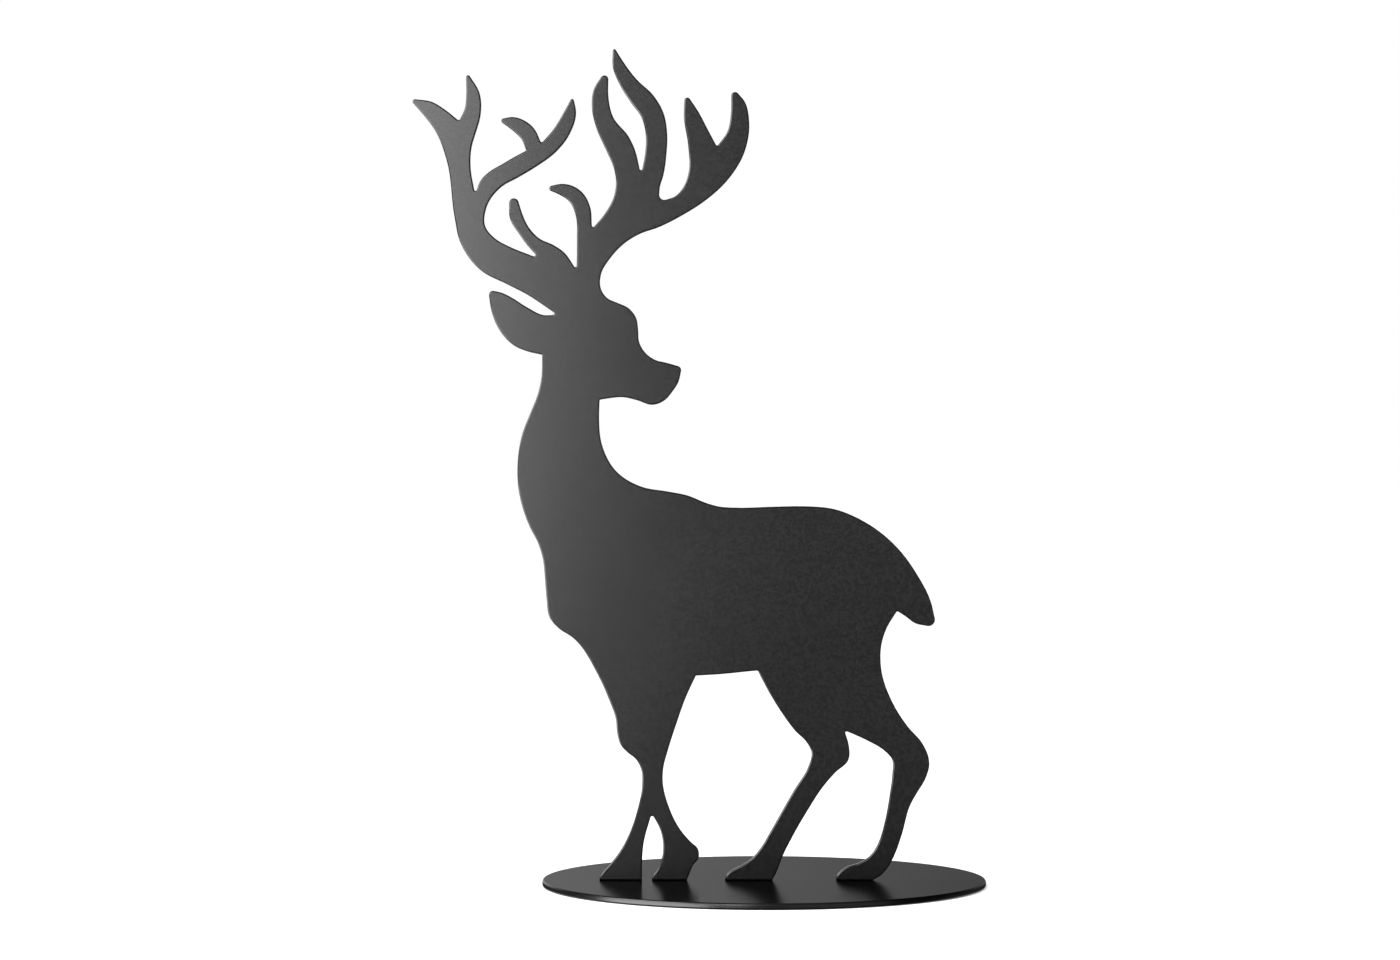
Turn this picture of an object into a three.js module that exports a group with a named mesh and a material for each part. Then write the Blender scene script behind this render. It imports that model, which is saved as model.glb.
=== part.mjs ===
// A stag statue cut from sheet steel.
//
// The stag is one flat silhouette, cut along a single closed line and stood upright on a round base plate of
// the same sheet, a little in front of its middle. Its body faces -X and its head looks back over its
// shoulder to +X. Millimetres, +Z up; the front is -Y. The origin is the centre of the base plate's
// underside, and the silhouette's soles stand on the base plate's top face.

import * as THREE from "three";

// Driving sizes.
const SHEET_THICKNESS = 2;
const BASE_DIAMETER = 139;
const BASE_SIDES = 128;
const STAG_FORWARD = 5;
const FORK_RADIUS = 0.45;

// How far a straight step of the cut line may stray from the curve that it follows.
const CURVE_TOLERANCE = 0.01;

// Toe and heel of each hoof on the base plate, from the foremost leg to the last.
const HOOVES = {
  nearFore: { toe: -51.5, heel: -38.2 },
  offFore: { toe: -35.1, heel: -24.2 },
  nearHind: { toe: -12.3, heel: 2.5 },
  offHind: { toe: 22.4, heel: 33.9 },
};

// The cut line is told in knots, clockwise as seen from the front: places in the silhouette's own plane,
// x along the base plate and z above it. Each list below is one stretch of the animal.

// A flowing stretch takes its heading at each place from the places around it.
const flow = (...places) => places.map(([x, z]) => ({ place: new THREE.Vector2(x, z) }));

// A sharp corner, where the cut stops and sets off in a new direction.
const corner = (x, z) => [{ place: new THREE.Vector2(x, z), sharp: true }];

// The round end of a tine, an ear or a tail: the cut runs clockwise round this circle.
const tip = (x, z, radius) => [{ place: new THREE.Vector2(x, z), radius }];

// The round bottom of a gap: the cut runs anticlockwise round this circle.
const fork = (x, z, radius = FORK_RADIUS) => [{ place: new THREE.Vector2(x, z), radius: -radius }];

// A hoof is cut flat from heel to toe.
const sole = (hoof) => [...corner(hoof.heel, 0), ...corner(hoof.toe, 0)];

const foreLegFront = [
  flow([-51.3, 1.1], [-50.1, 2.9], [-48.1, 5.1], [-45.5, 8.4]),
  flow([-41.3, 16.6], [-39.4, 22.8], [-38.2, 29], [-38.8, 35.6]),
  flow([-40.1, 37.8], [-42.6, 39.8], [-44.8, 42.2], [-46, 46.4], [-46.3, 50]),
];

const chestAndNeck = [
  flow([-48.5, 56.4], [-52.1, 64.4], [-60, 75.9], [-64, 78.5], [-67.2, 82.4], [-67.9, 87], [-68.4, 93.2]),
  flow([-69.4, 101.5], [-70.8, 105.6], [-73.3, 110.4], [-76.7, 121.8], [-76.9, 132], [-75.5, 139.7]),
  flow([-73.1, 145.8], [-70.6, 152.2], [-69.4, 158.8]),
];

const ear = [
  fork(-69.8, 163.75),
  flow([-74, 165.2], [-78, 166.9], [-81.3, 169.9], [-83.6, 173.4], [-85.2, 177.8]),
  tip(-84.7, 182.8, 1.3),
  flow([-82, 183.5], [-79.6, 182.4], [-73.8, 178.8], [-68.8, 176.5]),
];

const leftAntlerOuterTine = [
  fork(-66, 177),
  flow([-68.1, 179], [-74, 182.9], [-80, 186], [-88.8, 190.7], [-95.1, 199.6], [-96.7, 206.8]),
  flow([-99.3, 225.2], [-102.5, 233.6], [-106, 238.5]),
  tip(-109.1, 243.2, 0.75),
  flow([-104, 243.2], [-100, 240.9]),
];

const leftAntlerTallTine = [
  fork(-95.5, 237.9),
  flow([-93.6, 240.8], [-93.1, 245]),
  tip(-92.5, 250.8, 0.65),
  flow([-89.1, 246.4], [-88.7, 238.6], [-90.1, 233.6], [-91.4, 229.2], [-91.7, 222]),
];

const leftAntlerHookTine = [
  fork(-90.2, 215.7, 0.4),
  flow([-88.9, 218.1], [-86, 221.2], [-82, 223.6], [-77, 226.5]),
  fork(-74.9, 228.1),
  flow([-75.6, 231.1], [-78.5, 234.1]),
  tip(-81.4, 237.2, 0.75),
  flow([-78.8, 238.4], [-74.4, 237], [-71.6, 234.4]),
];

const leftAntlerInnerTine = [
  fork(-69.5, 231),
  flow([-66.4, 233.8], [-62.3, 240.4]),
  tip(-60, 243.5, 0.55),
  flow([-58.8, 240.4], [-60.8, 233.1], [-65, 227.6], [-71, 223.1], [-77, 219.5], [-82, 216.7], [-86.9, 209.8]),
  flow([-87.2, 204.4], [-84, 200.4], [-80, 198.1]),
];

const leftAntlerBrowTines = [
  fork(-71.9, 195.3),
  flow([-74, 198.3], [-76.4, 201.6], [-79.5, 206.9]),
  tip(-78.2, 211.5, 1.5),
  flow([-75.6, 208.2], [-73.6, 204], [-70, 200.3], [-66, 198.5], [-62.4, 196]),
  fork(-59, 191.9, 0.4),
  flow([-58.5, 200], [-59, 208], [-60.8, 211.9], [-64.5, 214.4]),
  tip(-66.3, 216.1, 0.85),
  flow([-63.4, 217.5], [-60.8, 217.2], [-56.7, 214.7], [-54.4, 210.4]),
];

const rightAntlerFirstTine = [
  fork(-53.4, 204.5),
  flow([-50, 207.9], [-46.9, 213.8], [-46.3, 217.6], [-47.1, 222.8], [-49, 227.2], [-52.6, 235.4], [-53.8, 241]),
  flow([-53.1, 247.4]),
  tip(-49.9, 250.2, 1.2),
  flow([-48.7, 245], [-47.2, 238.4], [-42.3, 232.2], [-40.4, 228.2]),
];

const rightAntlerTallTine = [
  fork(-38.5, 222.2, 0.4),
  flow([-37.2, 227], [-37.1, 233.6], [-38.4, 238.4], [-41.4, 242.6]),
  flow([-45.5, 249.2], [-47.3, 254]),
  tip(-46.8, 259.1, 0.5),
  flow([-44, 255.6], [-40, 250.3], [-34.5, 245], [-31.5, 239.8], [-30.3, 233.2], [-30.5, 227.2]),
  flow([-31.6, 219.8], [-32.6, 216.6]),
];

const rightAntlerOuterTines = [
  fork(-31.2, 214.1, 1.6),
  flow([-28, 213.5], [-25.3, 216.4], [-23.7, 220.6], [-23.8, 229.8], [-25.1, 238.4]),
  tip(-24, 243.5, 0.95),
  flow([-20.4, 239.8], [-18.1, 235.4]),
  fork(-14.7, 229.95),
  flow([-11.5, 233.8], [-10.5, 238.4]),
  tip(-9.1, 245, 1.2),
  flow([-6.2, 243.4], [-4.7, 237.2], [-5.7, 228.8], [-11.7, 218.4], [-17, 213.4]),
  flow([-26, 207.5], [-34, 203.6], [-38, 202.3], [-44, 198.7], [-48.2, 194.2], [-50.9, 189.6]),
];

const head = [
  flow([-50.9, 184.4], [-49, 181.8], [-46, 180.4], [-42.4, 178.7], [-40, 175.6], [-39.4, 172]),
  flow([-39.1, 168.2], [-37, 164.6], [-34, 162.5], [-30.4, 161.6]),
  tip(-27.3, 159.3, 1.35),
  flow([-26.7, 155.9], [-28.7, 152.6], [-31.4, 149.7], [-34.6, 148.5], [-40, 150], [-44.5, 150.9], [-48, 150.6]),
];

const throatAndBack = [
  fork(-51, 149.7),
  flow([-51.6, 144], [-50.8, 136.4], [-46, 127.5], [-38.6, 123], [-30, 121.4]),
  flow([-24, 120.2], [-18, 117.8], [-14, 116.7], [-10, 116.4], [4, 116.7]),
  flow([13, 116.8], [22, 115.9], [30, 112.7], [36, 108.9], [42, 103.4], [48, 95.1], [52, 87.2]),
];

const tail = [
  tip(51.3, 81.4, 2.05),
  flow([47.2, 80.2], [44, 82.5]),
  fork(41.65, 83.45),
];

const rumpAndHock = [
  flow([38.4, 79], [36.8, 74.4], [36.5, 66.5], [40.1, 55.5], [45.1, 47.7]),
  flow([49.4, 42.8], [51.6, 36.5], [50.2, 31.3], [47.9, 27.5], [45.7, 23.6], [43.1, 14.5]),
  flow([40.9, 8.3], [38.2, 3.4], [36.2, 1.3]),
];

const offHindFront = [
  flow([22.7, 1.4], [23.9, 2.8], [26, 4.2], [29.2, 5.2], [32, 6.7], [34, 8.7], [35.7, 11.7], [37.7, 18.2]),
  flow([39.2, 26.4], [40, 32.4], [39.8, 38], [37.8, 40.2], [32, 43.7]),
];

const nearHindBack = [
  fork(25.8, 46),
  flow([26.4, 42.4], [26.3, 37.5], [22.2, 33.6], [18.4, 29.2]),
  flow([13.7, 22], [8.4, 12.8], [5.8, 7.6], [3.5, 1.8]),
];

const nearHindFront = [
  flow([-11.9, 1.4], [-10.3, 2.9], [-7.1, 4.6], [-4.1, 6.6], [-0.9, 10.3], [2.1, 15.4]),
  flow([9.7, 28.7], [13.6, 35], [14.8, 39.8], [13.3, 43], [9.8, 46.5], [5.2, 52.7], [1, 59.6]),
];

const bellyAndForeLegBack = [
  fork(-2.3, 65),
  flow([-6, 65.1], [-14, 64.3]),
  fork(-21.05, 63.45),
  flow([-24.2, 57.8], [-27.3, 49.2], [-30, 40.8], [-31.5, 35], [-31.7, 31], [-29.9, 23.2]),
  flow([-26.1, 15.6], [-22.5, 11.5], [-21, 10.2], [-20.5, 7], [-22.2, 4.7], [-23.7, 1.2]),
];

const betweenForeLegs = [
  flow([-34.8, 1.3], [-33.4, 3.3], [-32.2, 6], [-31.6, 10], [-33.2, 17.4]),
  fork(-35, 19.5, 0.5),
  flow([-37.5, 12.4], [-38.2, 4]),
];

const cutLine = [
  foreLegFront,
  chestAndNeck,
  ear,
  leftAntlerOuterTine,
  leftAntlerTallTine,
  leftAntlerHookTine,
  leftAntlerInnerTine,
  leftAntlerBrowTines,
  rightAntlerFirstTine,
  rightAntlerTallTine,
  rightAntlerOuterTines,
  head,
  throatAndBack,
  tail,
  rumpAndHock,
  sole(HOOVES.offHind),
  offHindFront,
  nearHindBack,
  sole(HOOVES.nearHind),
  nearHindFront,
  bellyAndForeLegBack,
  sole(HOOVES.offFore),
  betweenForeLegs,
  sole(HOOVES.nearFore),
].flat(Infinity);

const angleOf = (from, to) => to.clone().sub(from).angle();

const directionAt = (angle) => new THREE.Vector2(Math.cos(angle), Math.sin(angle));

const wrapped = (angle) => Math.atan2(Math.sin(angle), Math.cos(angle));

// The heading of the circle through three places, at the middle one.
function headingThrough(before, here, after) {
  const arriving = here.clone().sub(before);
  const leaving = after.clone().sub(here);
  const arrivingLength = arriving.length();
  arriving.setLength(leaving.length());
  leaving.setLength(arrivingLength);
  return arriving.add(leaving).angle();
}

// A round knot becomes the three places where the cut meets its circle, is half way round and leaves it.
function roundTurn(knot, before, after) {
  const side = Math.sign(knot.radius);
  const radius = Math.abs(knot.radius);
  const slant = (place) => Math.acos(radius / knot.place.distanceTo(place));
  const meets = angleOf(knot.place, before) - side * slant(before);
  const leaves = angleOf(knot.place, after) + side * slant(after);
  const swept = side * THREE.MathUtils.euclideanModulo((meets - leaves) * side, 2 * Math.PI);
  const placeAt = (angle) => ({
    place: directionAt(angle).multiplyScalar(radius).add(knot.place),
    heading: angle - side * (Math.PI / 2),
  });
  return [placeAt(meets), placeAt(meets - swept / 2), placeAt(meets - swept)];
}

// Every knot with its heading: only a sharp corner has none.
function headedKnots(knots) {
  const neighbour = (index, step) => knots.at((index + step) % knots.length).place;
  const turned = knots.flatMap((knot, index) =>
    knot.radius ? roundTurn(knot, neighbour(index, -1), neighbour(index, 1)) : [knot],
  );
  const placeOf = (index) => turned.at(index % turned.length).place;
  return turned.map((knot, index) => {
    if (knot.sharp || knot.heading !== undefined) return knot;
    return { ...knot, heading: headingThrough(placeOf(index - 1), knot.place, placeOf(index + 1)) };
  });
}

// The cut from one knot to the next, as points short of the next one. It is straight next to a sharp
// corner. Both handles of the curve have the length that makes an even bend a true arc.
function cutBetween(from, to) {
  if (from.sharp || to.sharp) return [from.place];
  const along = angleOf(from.place, to.place);
  const chord = from.place.distanceTo(to.place);
  const handle = chord / (3 * Math.cos(wrapped(to.heading - from.heading) / 4) ** 2);
  const curve = new THREE.CubicBezierCurve(
    from.place,
    directionAt(from.heading).multiplyScalar(handle).add(from.place),
    directionAt(to.heading).multiplyScalar(-handle).add(to.place),
    to.place,
  );
  const bend = Math.abs(wrapped(from.heading - along)) + Math.abs(wrapped(to.heading - along));
  const steps = Math.max(1, Math.ceil(Math.sqrt((chord * bend) / (8 * CURVE_TOLERANCE))));
  return curve.getPoints(steps).slice(0, steps);
}

function silhouette(knots) {
  const headed = headedKnots(knots);
  const next = (index) => headed[(index + 1) % headed.length];
  return new THREE.Shape(headed.flatMap((knot, index) => cutBetween(knot, next(index))));
}

const blackCoat = () => new THREE.MeshStandardMaterial({ color: 0x1b1b1c, roughness: 0.38, metalness: 0 });

function stagPlate() {
  const geometry = new THREE.ExtrudeGeometry(silhouette(cutLine), {
    depth: SHEET_THICKNESS,
    bevelEnabled: false,
  });
  const mesh = new THREE.Mesh(geometry, blackCoat());
  mesh.name = "stag";
  mesh.rotation.x = Math.PI / 2;
  mesh.position.set(0, SHEET_THICKNESS / 2 - STAG_FORWARD, SHEET_THICKNESS);
  return mesh;
}

function basePlate() {
  const radius = BASE_DIAMETER / 2;
  const geometry = new THREE.CylinderGeometry(radius, radius, SHEET_THICKNESS, BASE_SIDES);
  const mesh = new THREE.Mesh(geometry, blackCoat());
  mesh.name = "base_plate";
  mesh.rotation.x = Math.PI / 2;
  mesh.position.z = SHEET_THICKNESS / 2;
  return mesh;
}

const group = new THREE.Group();
group.add(basePlate(), stagPlate());

export default group;
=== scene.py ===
# %% [markdown]
# # A stag statue in black-coated sheet steel
#
# The statue is two pieces of 2 mm sheet: a stag's silhouette cut along one closed line, and the round plate
# that it stands on. Both carry a satin black powder coat, which is a little different on each. There is
# nothing else to model, so everything here serves two things: the soft, rounded rim that a coat gives a cut
# sheet, and the coat itself.
#
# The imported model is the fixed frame. It holds the true outline, thickness and place of both plates, in
# metres, with +Z up and the silhouette in the XZ plane. Every piece below is made from it or measured by it.

# %% Load the frame
import math

import bmesh
import bpy
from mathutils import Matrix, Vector


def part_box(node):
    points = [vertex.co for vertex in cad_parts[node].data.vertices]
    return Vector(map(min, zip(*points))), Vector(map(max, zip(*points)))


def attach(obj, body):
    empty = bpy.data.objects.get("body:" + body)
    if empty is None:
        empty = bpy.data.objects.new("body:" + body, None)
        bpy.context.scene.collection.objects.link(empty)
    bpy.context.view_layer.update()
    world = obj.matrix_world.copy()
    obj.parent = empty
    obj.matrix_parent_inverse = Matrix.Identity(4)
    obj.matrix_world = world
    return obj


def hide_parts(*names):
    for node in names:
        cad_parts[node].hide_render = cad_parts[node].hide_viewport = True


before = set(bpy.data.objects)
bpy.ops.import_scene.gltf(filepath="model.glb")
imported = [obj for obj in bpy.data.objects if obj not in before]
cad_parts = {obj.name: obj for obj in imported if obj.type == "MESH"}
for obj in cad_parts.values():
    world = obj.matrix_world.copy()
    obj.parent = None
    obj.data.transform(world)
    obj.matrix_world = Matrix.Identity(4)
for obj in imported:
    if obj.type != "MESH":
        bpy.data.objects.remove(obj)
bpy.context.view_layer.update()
MM = 0.001

# %% [markdown]
# ## Measuring the sheet
#
# A piece that takes its sizes from the frame stays right when the frame changes.

# %% The sizes that everything follows
base_low, base_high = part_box("base_plate")
stag_low, stag_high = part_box("stag")
SHEET = base_high.z - base_low.z
BASE_RADIUS = (base_high.x - base_low.x) / 2
STAG_CENTRE = (stag_low.x + stag_high.x) / 2
STAG_MIDDLE = (stag_low.y + stag_high.y) / 2
print(f"sheet {SHEET / MM:.2f} mm, base radius {BASE_RADIUS / MM:.1f} mm, top at {stag_high.z / MM:.1f} mm")

# %% [markdown]
# ## Shader maths in plain Python
#
# The coat's pattern is a few sums over noise. Written out as Math nodes, a sum is hard to read, so `Wire`
# wraps a socket and lets `+`, `-` and `*` add the Math nodes. `Tree.node` adds any other node: its type, the
# values or wires of its sockets, which output is wanted, and its settings.


# %% Wire and Tree
class Wire:
    """One number or vector on its way through a node tree."""

    def __init__(self, tree, socket):
        self.tree = tree
        self.socket = socket

    def maths(self, operation, first, second):
        return self.tree.node("ShaderNodeMath", {0: first, 1: second}, operation=operation)

    def __add__(self, other):
        return self.maths("ADD", self, other)

    def __sub__(self, other):
        return self.maths("SUBTRACT", self, other)

    def __rsub__(self, other):
        return self.maths("SUBTRACT", other, self)

    def __mul__(self, other):
        return self.maths("MULTIPLY", self, other)

    __radd__ = __add__
    __rmul__ = __mul__


class Tree:
    """The node tree of a material or of the world."""

    def __init__(self, owner):
        owner.use_nodes = True
        self.tree = owner.node_tree

    def feed(self, socket, value):
        if isinstance(value, Wire):
            self.tree.links.new(value.socket, socket)
        else:
            socket.default_value = value

    def node(self, kind, inputs=None, output=0, **settings):
        made = self.tree.nodes.new(kind)
        for name, value in settings.items():
            setattr(made, name, value)
        for name, value in (inputs or {}).items():
            self.feed(made.inputs[name], value)
        return Wire(self, made.outputs[output])

    def noise(self, place, size, detail=2.0):
        """Noise whose lumps are about `size` metres across, as a wire that centres on 0.5."""
        return self.node("ShaderNodeTexNoise", {"Vector": place, "Scale": 1 / size, "Detail": detail})

    def part(self, place, axis):
        """One of the three numbers of a place or a direction."""
        return self.node("ShaderNodeSeparateXYZ", {"Vector": place}, axis)

    def ramp(self, value, start, end, low, high):
        """`low` up to `start`, `high` from `end` on, and a smooth step between."""
        inputs = {"Value": value, "From Min": start, "From Max": end, "To Min": low, "To Max": high}
        return self.node("ShaderNodeMapRange", inputs, interpolation_type="SMOOTHSTEP")


print("shader helpers ready")

# %% [markdown]
# ## The coat
#
# Powder coat goes on as a dry dust and is melted in an oven. It flows, but not to a mirror: it keeps a fine
# orange peel of lumps about a millimetre across, a still finer grain, and a mottle of slightly paler and
# slightly duller specks. A plain black with a plain roughness would look like plastic film. So two layers of
# noise feed a Bump node, a third one makes the specks, and a broad, faint cloud moves both colour and
# roughness, because no spray gun lays the same thickness everywhere.
#
# The rims have a roughness of their own. On the stag the melted coat is drawn smooth over them, on the base
# plate it lies coarser there than on the top. And on the cut itself the fine lines that the laser left still
# show through. Both follow from how far the surface has turned away from the flat of the sheet: the true
# normal's part across the sheet, squared, is 1 on the flat and 0 on the cut.
#
# The base plate's top is seen at a flat angle, where any clear gloss mirrors about half of what stands behind
# it. This coat mirrors less than that, perhaps because its finest grain shades itself. A Mix Shader with
# plain black stands in for it: `dulled` is the share that mirrors nothing.

# %% Black powder coat
PEEL_SIZE = 1.3 * MM
GRAIN_SIZE = 0.28 * MM
MOTTLE_SIZE = 0.9 * MM
CLOUD_SIZE = 45 * MM
CUT_LINE_SIZE = 0.22 * MM
CUT_LINE_STRETCH = 25
PEEL_DEPTH = 0.0015 * MM
GRAIN_DEPTH = 0.0003 * MM
CUT_LINE_DEPTH = 0.004 * MM
CLOUD_ON_ROUGHNESS = 0.04
MOTTLE_ON_ROUGHNESS = 0.01
CLOUD_ON_COLOUR = 0.4
SPECK_DARK = 0.6
SPECK_PALE = 1.4
COAT_IOR = 1.5
MIDDLE_OF_NOISE = 0.5
SPECK_NOISE = {"start": 0.35, "end": 0.65}
RIM_FLATNESS = {"start": 0.95, "end": 0.99}
CUT_FLATNESS = {"start": 0.05, "end": 0.5}
PLAIN_BLACK = (0, 0, 0, 1)


def black_coat(name, across_sheet, black, roughness, rim_roughness, dulled):
    """The coat on a sheet whose flat faces look along the axis `across_sheet`."""
    material = bpy.data.materials.new(name)
    tree = Tree(material)
    place = tree.node("ShaderNodeTexCoord", output="Object")
    normal = tree.node("ShaderNodeNewGeometry", output="True Normal")
    across = tree.part(normal, across_sheet)
    flatness = across * across
    on_rim = tree.ramp(flatness, **RIM_FLATNESS, low=1.0, high=0.0)
    on_cut = tree.ramp(flatness, **CUT_FLATNESS, low=1.0, high=0.0)

    peel = tree.noise(place, PEEL_SIZE)
    grain = tree.noise(place, GRAIN_SIZE)
    stretched = {axis: tree.part(place, axis) for axis in "XYZ"}
    stretched[across_sheet] = stretched[across_sheet] * (1 / CUT_LINE_STRETCH)
    along_cut = tree.node("ShaderNodeCombineXYZ", stretched)
    cut_lines = tree.noise(along_cut, CUT_LINE_SIZE) * on_cut
    height = peel * PEEL_DEPTH + grain * GRAIN_DEPTH + cut_lines * CUT_LINE_DEPTH
    bump = tree.node("ShaderNodeBump", {"Height": height, "Distance": 1.0, "Strength": 1.0})

    mottle = tree.noise(place, MOTTLE_SIZE)
    cloud = tree.noise(place, CLOUD_SIZE) - MIDDLE_OF_NOISE
    specks = tree.ramp(mottle, **SPECK_NOISE, low=SPECK_DARK, high=SPECK_PALE)
    shade = black * specks * (1.0 + CLOUD_ON_COLOUR * cloud)
    colour = tree.node("ShaderNodeCombineColor", {"Red": shade, "Green": shade, "Blue": shade})
    base_roughness = roughness + (rim_roughness - roughness) * on_rim
    unevenness = CLOUD_ON_ROUGHNESS * cloud + MOTTLE_ON_ROUGHNESS * (mottle - MIDDLE_OF_NOISE)

    shader = tree.tree.nodes["Principled BSDF"]
    tree.feed(shader.inputs["Base Color"], colour)
    tree.feed(shader.inputs["Roughness"], base_roughness + unevenness)
    tree.feed(shader.inputs["Normal"], bump)
    shader.inputs["IOR"].default_value = COAT_IOR
    if dulled:
        glossy = Wire(tree, shader.outputs["BSDF"])
        dull = tree.node("ShaderNodeBsdfDiffuse", {"Color": PLAIN_BLACK})
        mix = tree.node("ShaderNodeMixShader", {"Fac": dulled * (1.0 - on_rim), 1: glossy, 2: dull})
        tree.feed(tree.tree.nodes["Material Output"].inputs["Surface"], mix)
    return material


stag_coat = black_coat("black_coat_on_stag", "Y", black=0.0055, roughness=0.25, rim_roughness=0.12, dulled=0)
base_coat = black_coat("black_coat_on_base", "Z", black=0.001, roughness=0.19, rim_roughness=0.28,
                       dulled=0.65)
print("materials:", stag_coat.name, base_coat.name)

# %% [markdown]
# ## Finishing a piece
#
# A rounded rim only looks rounded if the light runs over it smoothly, and a flat face only looks flat if its
# normals all agree. Smooth shading with a Weighted Normal modifier gives both: the large faces win where
# they meet the small ones.


# %% From bmesh to a finished piece
LARGE_FACES_WIN = 100
ALONG_AXIS = 0.999
CIRCULAR = 0.5


def finished_piece(name, bm, coat, node):
    bmesh.ops.recalc_face_normals(bm, faces=bm.faces)
    mesh = bpy.data.meshes.new(name)
    bm.to_mesh(mesh)
    bm.free()
    mesh.shade_smooth()
    mesh.materials.append(coat)
    piece = bpy.data.objects.new(name, mesh)
    bpy.context.scene.collection.objects.link(piece)
    even = piece.modifiers.new("even_normals", "WEIGHTED_NORMAL")
    even.weight = LARGE_FACES_WIN
    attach(piece, "root")
    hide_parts(node)
    print(f"{name}: {len(mesh.vertices)} vertices, {len(mesh.polygons)} faces")


def round_rims(bm, axis, radius, segments):
    """Rolls the edges of the large faces that look along `axis` to a quarter round of that radius."""
    large = [face for face in bm.faces if abs(getattr(face.normal, axis)) > ALONG_AXIS]
    rims = {edge for face in large for edge in face.edges}
    print(len(large), "large faces,", len(rims), "rim edges")
    bmesh.ops.bevel(
        bm,
        geom=list(rims),
        offset=radius,
        offset_type="OFFSET",
        affect="EDGES",
        segments=segments,
        profile=CIRCULAR,
        material=-1,
        clamp_overlap=False,
    )


# %% [markdown]
# ## The stag
#
# The outline is already exact in the frame, so drawing it again would only bring in errors. The frame's mesh
# is loose triangles: a copy is merged, and the edges that lie in a flat surface are dissolved, which leaves
# one large face on each side and a ribbon of walls between. The two rims of that ribbon are then rolled over,
# as the melted coat does on a cut edge. The radius stays under that of the finest antler tip.

# %% The stag's plate
STAG_ROUNDING = 0.45 * MM
STAG_ROUNDING_STEPS = 4
SAME_PLACE = 0.01 * MM
FLAT = math.radians(0.01)


def stag():
    bm = bmesh.new()
    bm.from_mesh(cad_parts["stag"].data)
    bmesh.ops.remove_doubles(bm, verts=bm.verts, dist=SAME_PLACE)
    in_flat_surface = [edge for edge in bm.edges if edge.calc_face_angle(math.pi) < FLAT]
    bmesh.ops.dissolve_edges(bm, edges=in_flat_surface, use_verts=False, use_face_split=False)
    round_rims(bm, "y", STAG_ROUNDING, STAG_ROUNDING_STEPS)
    finished_piece("stag_plate", bm, stag_coat, "stag")


stag()

# %% [markdown]
# ## The base plate
#
# The base is a disc of the same sheet. The frame holds it with fewer sides, which is enough to stand on, but
# its rim would show as short straight lines. So it is made new: a finer circle inside the same box, extruded
# by the sheet's thickness, with both rims rolled over.

# %% The base plate
BASE_SIDES = 384
BASE_ROUNDING = 0.6 * MM
BASE_ROUNDING_STEPS = 6


def base():
    bm = bmesh.new()
    bmesh.ops.create_circle(bm, cap_ends=True, radius=BASE_RADIUS, segments=BASE_SIDES)
    bmesh.ops.translate(bm, verts=bm.verts, vec=(0, 0, base_low.z))
    disc = bmesh.ops.extrude_face_region(bm, geom=list(bm.faces))
    raised = [item for item in disc["geom"] if isinstance(item, bmesh.types.BMVert)]
    bmesh.ops.translate(bm, verts=raised, vec=(0, 0, SHEET))
    round_rims(bm, "z", BASE_ROUNDING, BASE_ROUNDING_STEPS)
    finished_piece("base_disc", bm, base_coat, "base_plate")


base()

# %% [markdown]
# ## Floor and backdrop
#
# The setting is as plain as it can be: a pale floor that runs into a pale backdrop with hardly a line
# between. A sun that lights the floor alone, and throws no shadows, keeps it evenly pale right up to the base
# plate and out to the horizon. Light linking does that: the statue is not in the sun's collection, so it
# stays lit by the soft boxes and the studio only.
#
# The floor is kept out of reflections, because a black gloss shows every pale thing around it. It casts no
# shadow either, so a soft box may reach below its level: that light stands in for what a pale floor throws
# back up. It lies a hair's breadth under the base plate, so that it doesn't share a plane with the plate's
# underside, which it hides from any camera below it.

# %% The pale floor
FLOOR_SIDE = 60.0
FLOOR_PALE = 0.8
FLOOR_GAP = 0.02 * MM
FLOOR_RADIANCE = 1.0
SUN_SPREAD = math.radians(120)


def pale_floor():
    bm = bmesh.new()
    bmesh.ops.create_grid(bm, x_segments=1, y_segments=1, size=FLOOR_SIDE / 2)
    mesh = bpy.data.meshes.new("floor")
    bm.to_mesh(mesh)
    bm.free()
    made = bpy.data.objects.new("floor", mesh)
    made.location.z = -FLOOR_GAP
    bpy.context.scene.collection.objects.link(made)
    material = bpy.data.materials.new("pale_floor")
    material.use_nodes = True
    shader = material.node_tree.nodes["Principled BSDF"]
    shader.inputs["Base Color"].default_value = (FLOOR_PALE, FLOOR_PALE, FLOOR_PALE, 1)
    shader.inputs["Roughness"].default_value = 1.0
    shader.inputs["Specular IOR Level"].default_value = 0.0
    mesh.materials.append(material)
    made.visible_glossy = False
    made.visible_shadow = False
    return made


def sun_on(receiver, radiance):
    light = bpy.data.lights.new("floor_sun", "SUN")
    light.angle = SUN_SPREAD
    light.energy = math.pi * radiance / FLOOR_PALE
    light.use_shadow = False
    made = bpy.data.objects.new("floor_sun", light)
    bpy.context.scene.collection.objects.link(made)
    lit = bpy.data.collections.new("lit_by_floor_sun")
    lit.objects.link(receiver)
    made.light_linking.receiver_collection = lit


sun_on(pale_floor(), FLOOR_RADIANCE)
print("floor laid")

# %% [markdown]
# ## Light
#
# A flat black plate has no shape of its own to catch the light: all that shows on it is what it mirrors. Its
# face mirrors places close to the camera, a little to the left for the chest and the left antler, a little to
# the right for the rump. The coat's roughness blurs them. So the two narrow boxes at 13 and 18 degrees on the
# left, `left_edge` and `left_column`, make the face pale at the left and let it fade to the right.
#
# `left_wall` and `left_overhead` are broad and stand farther round. Surfaces that are turned to the left
# mirror them: the rounded edges of the stag on that side, and a stretch of the base plate's rim. The weak
# `right_wall` keeps the edges on the other side just above black.

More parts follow.
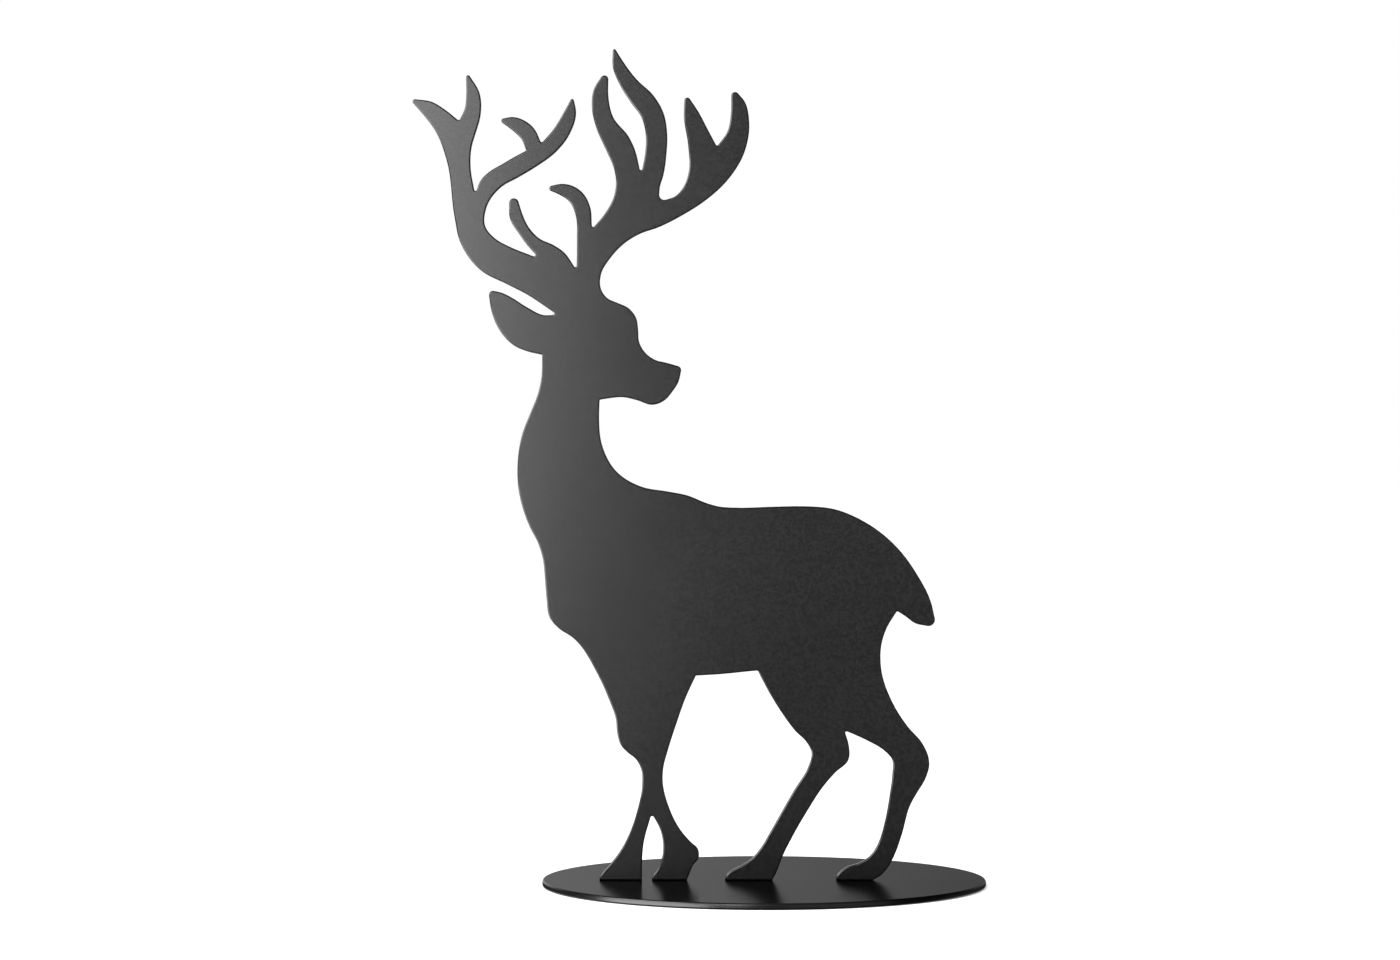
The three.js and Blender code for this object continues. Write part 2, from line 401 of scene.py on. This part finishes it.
# %% Soft boxes
def soft_box(name, azimuth, distance, width, bottom, top, radiance):
    """A wall of light, `azimuth` degrees to the right of the front, turned to face the stag."""
    turn = math.radians(azimuth)
    towards = Vector((math.sin(turn), -math.cos(turn), 0))
    height = top - bottom
    light = bpy.data.lights.new(name, "AREA")
    light.shape = "RECTANGLE"
    light.size = width
    light.size_y = height
    light.energy = radiance * math.pi * width * height
    made = bpy.data.objects.new(name, light)
    made.location = Vector((STAG_CENTRE, STAG_MIDDLE, (bottom + top) / 2)) + towards * distance
    made.rotation_mode = "QUATERNION"
    made.rotation_quaternion = towards.to_track_quat("Z", "Y")
    made.visible_camera = False
    bpy.context.scene.collection.objects.link(made)


soft_box("left_wall", azimuth=-57.5, distance=0.80, width=0.91, bottom=-0.32, top=0.06, radiance=8.4)
soft_box("left_overhead", azimuth=-65, distance=0.80, width=0.80, bottom=0.25, top=0.85, radiance=9.0)
soft_box("left_column", azimuth=-18, distance=0.80, width=0.30, bottom=0.05, top=0.70, radiance=4.2)
soft_box("left_edge", azimuth=-13, distance=0.80, width=0.10, bottom=-0.10, top=0.80, radiance=5.1)
soft_box("right_wall", azimuth=37, distance=0.90, width=0.90, bottom=-0.40, top=0.60, radiance=0.40)

# %% [markdown]
# ## The studio around
#
# Past the soft boxes the room is dim, but for four glows. The one in front is weak. The one behind is much
# brighter, above all on the left: the top of the base plate, seen at a flat angle, mirrors it. Both lie low
# down, and the one behind ends at the floor's level, or the base plate's rim would mirror it too. The other
# two hardly show from the front but keep the other sides from going dead black: one overhead, which the base
# plate mirrors when it is seen from above, and one behind, well below the floor's level, which the stag's
# back mirrors in place of a pale floor. The camera itself is shown plain white instead.
#
# The limits are the x, y and z of a direction of length 1. Each one is a smooth step from `start` to `end`.

# %% The studio's glow
STUDIO_FRONT = 0.085
STUDIO_BACK = 0.465
STUDIO_OVERHEAD = 0.30
STUDIO_BELOW_BACK = 0.70
STUDIO_DARK = 0.01
BACK_LEFT_SHARE = 1.87
BACK_RIGHT_SHARE = 0.54
FRONTWARDS = {"start": 0.5, "end": 0.9}
BACKWARDS = {"start": 0.5, "end": 0.95}
BROADLY_BACKWARDS = {"start": 0.1, "end": 0.6}
LEFT_TO_RIGHT = {"start": -0.1, "end": 0.15}
OUT_OF_LOW = {"start": 0.1, "end": 0.6}
OUT_OF_THE_FLOOR = {"start": -0.05, "end": 0.01}
UPWARDS = {"start": 0.75, "end": 0.95}
DOWNWARDS = {"start": 0.12, "end": 0.28}
WHITE = (1, 1, 1, 1)


def studio():
    world = bpy.data.worlds.new("studio")
    bpy.context.scene.world = world
    tree = Tree(world)
    direction = tree.node("ShaderNodeTexCoord", output="Generated")
    x = tree.part(direction, "X")
    y = tree.part(direction, "Y")
    z = tree.part(direction, "Z")
    front = tree.ramp(-1.0 * y, **FRONTWARDS, low=0.0, high=STUDIO_FRONT)
    back = tree.ramp(y, **BACKWARDS, low=0.0, high=STUDIO_BACK)
    left_to_right = tree.ramp(x, **LEFT_TO_RIGHT, low=BACK_LEFT_SHARE, high=BACK_RIGHT_SHARE)
    low_down = tree.ramp(z, **OUT_OF_LOW, low=1.0, high=0.0)
    above_floor = tree.ramp(z, **OUT_OF_THE_FLOOR, low=0.0, high=1.0)
    overhead = tree.ramp(z, **UPWARDS, low=0.0, high=STUDIO_OVERHEAD)
    below = tree.ramp(-1.0 * z, **DOWNWARDS, low=0.0, high=STUDIO_BELOW_BACK)
    below_back = below * tree.ramp(y, **BROADLY_BACKWARDS, low=0.0, high=1.0)
    glow = STUDIO_DARK + (front + back * left_to_right * above_floor) * low_down + overhead + below_back
    seen = tree.node("ShaderNodeLightPath", output="Is Camera Ray")
    strength = seen + (1.0 - seen) * glow
    background = tree.tree.nodes["Background"]
    background.inputs["Color"].default_value = WHITE
    tree.feed(background.inputs["Strength"], strength)


studio()
bpy.context.scene.view_settings.view_transform = "Standard"
print("studio set")

# %% [markdown]
# ## Camera
#
# The camera looks level and straight at the plate, from a little over a metre away through a long lens, just
# above the line of the stag's back. From there the base plate shows as a thin ellipse.

# %% The camera
CAMERA_DISTANCE = 1157 * MM
CAMERA_PLACE = Vector((-20.06 * MM, STAG_MIDDLE - CAMERA_DISTANCE, 127 * MM))
FOCAL_LENGTH = 95.2
SENSOR_WIDTH = 36
NEAREST_SEEN = 50 * MM
LEVEL = (math.pi / 2, 0, 0)

camera_data = bpy.data.cameras.new("camera")
camera_data.lens = FOCAL_LENGTH
camera_data.sensor_width = SENSOR_WIDTH
camera_data.clip_start = NEAREST_SEEN
camera = bpy.data.objects.new("camera", camera_data)
camera.location = CAMERA_PLACE
camera.rotation_euler = LEVEL
bpy.context.scene.collection.objects.link(camera)
bpy.context.scene.camera = camera
print("camera at", [round(part / MM) for part in CAMERA_PLACE], "mm")
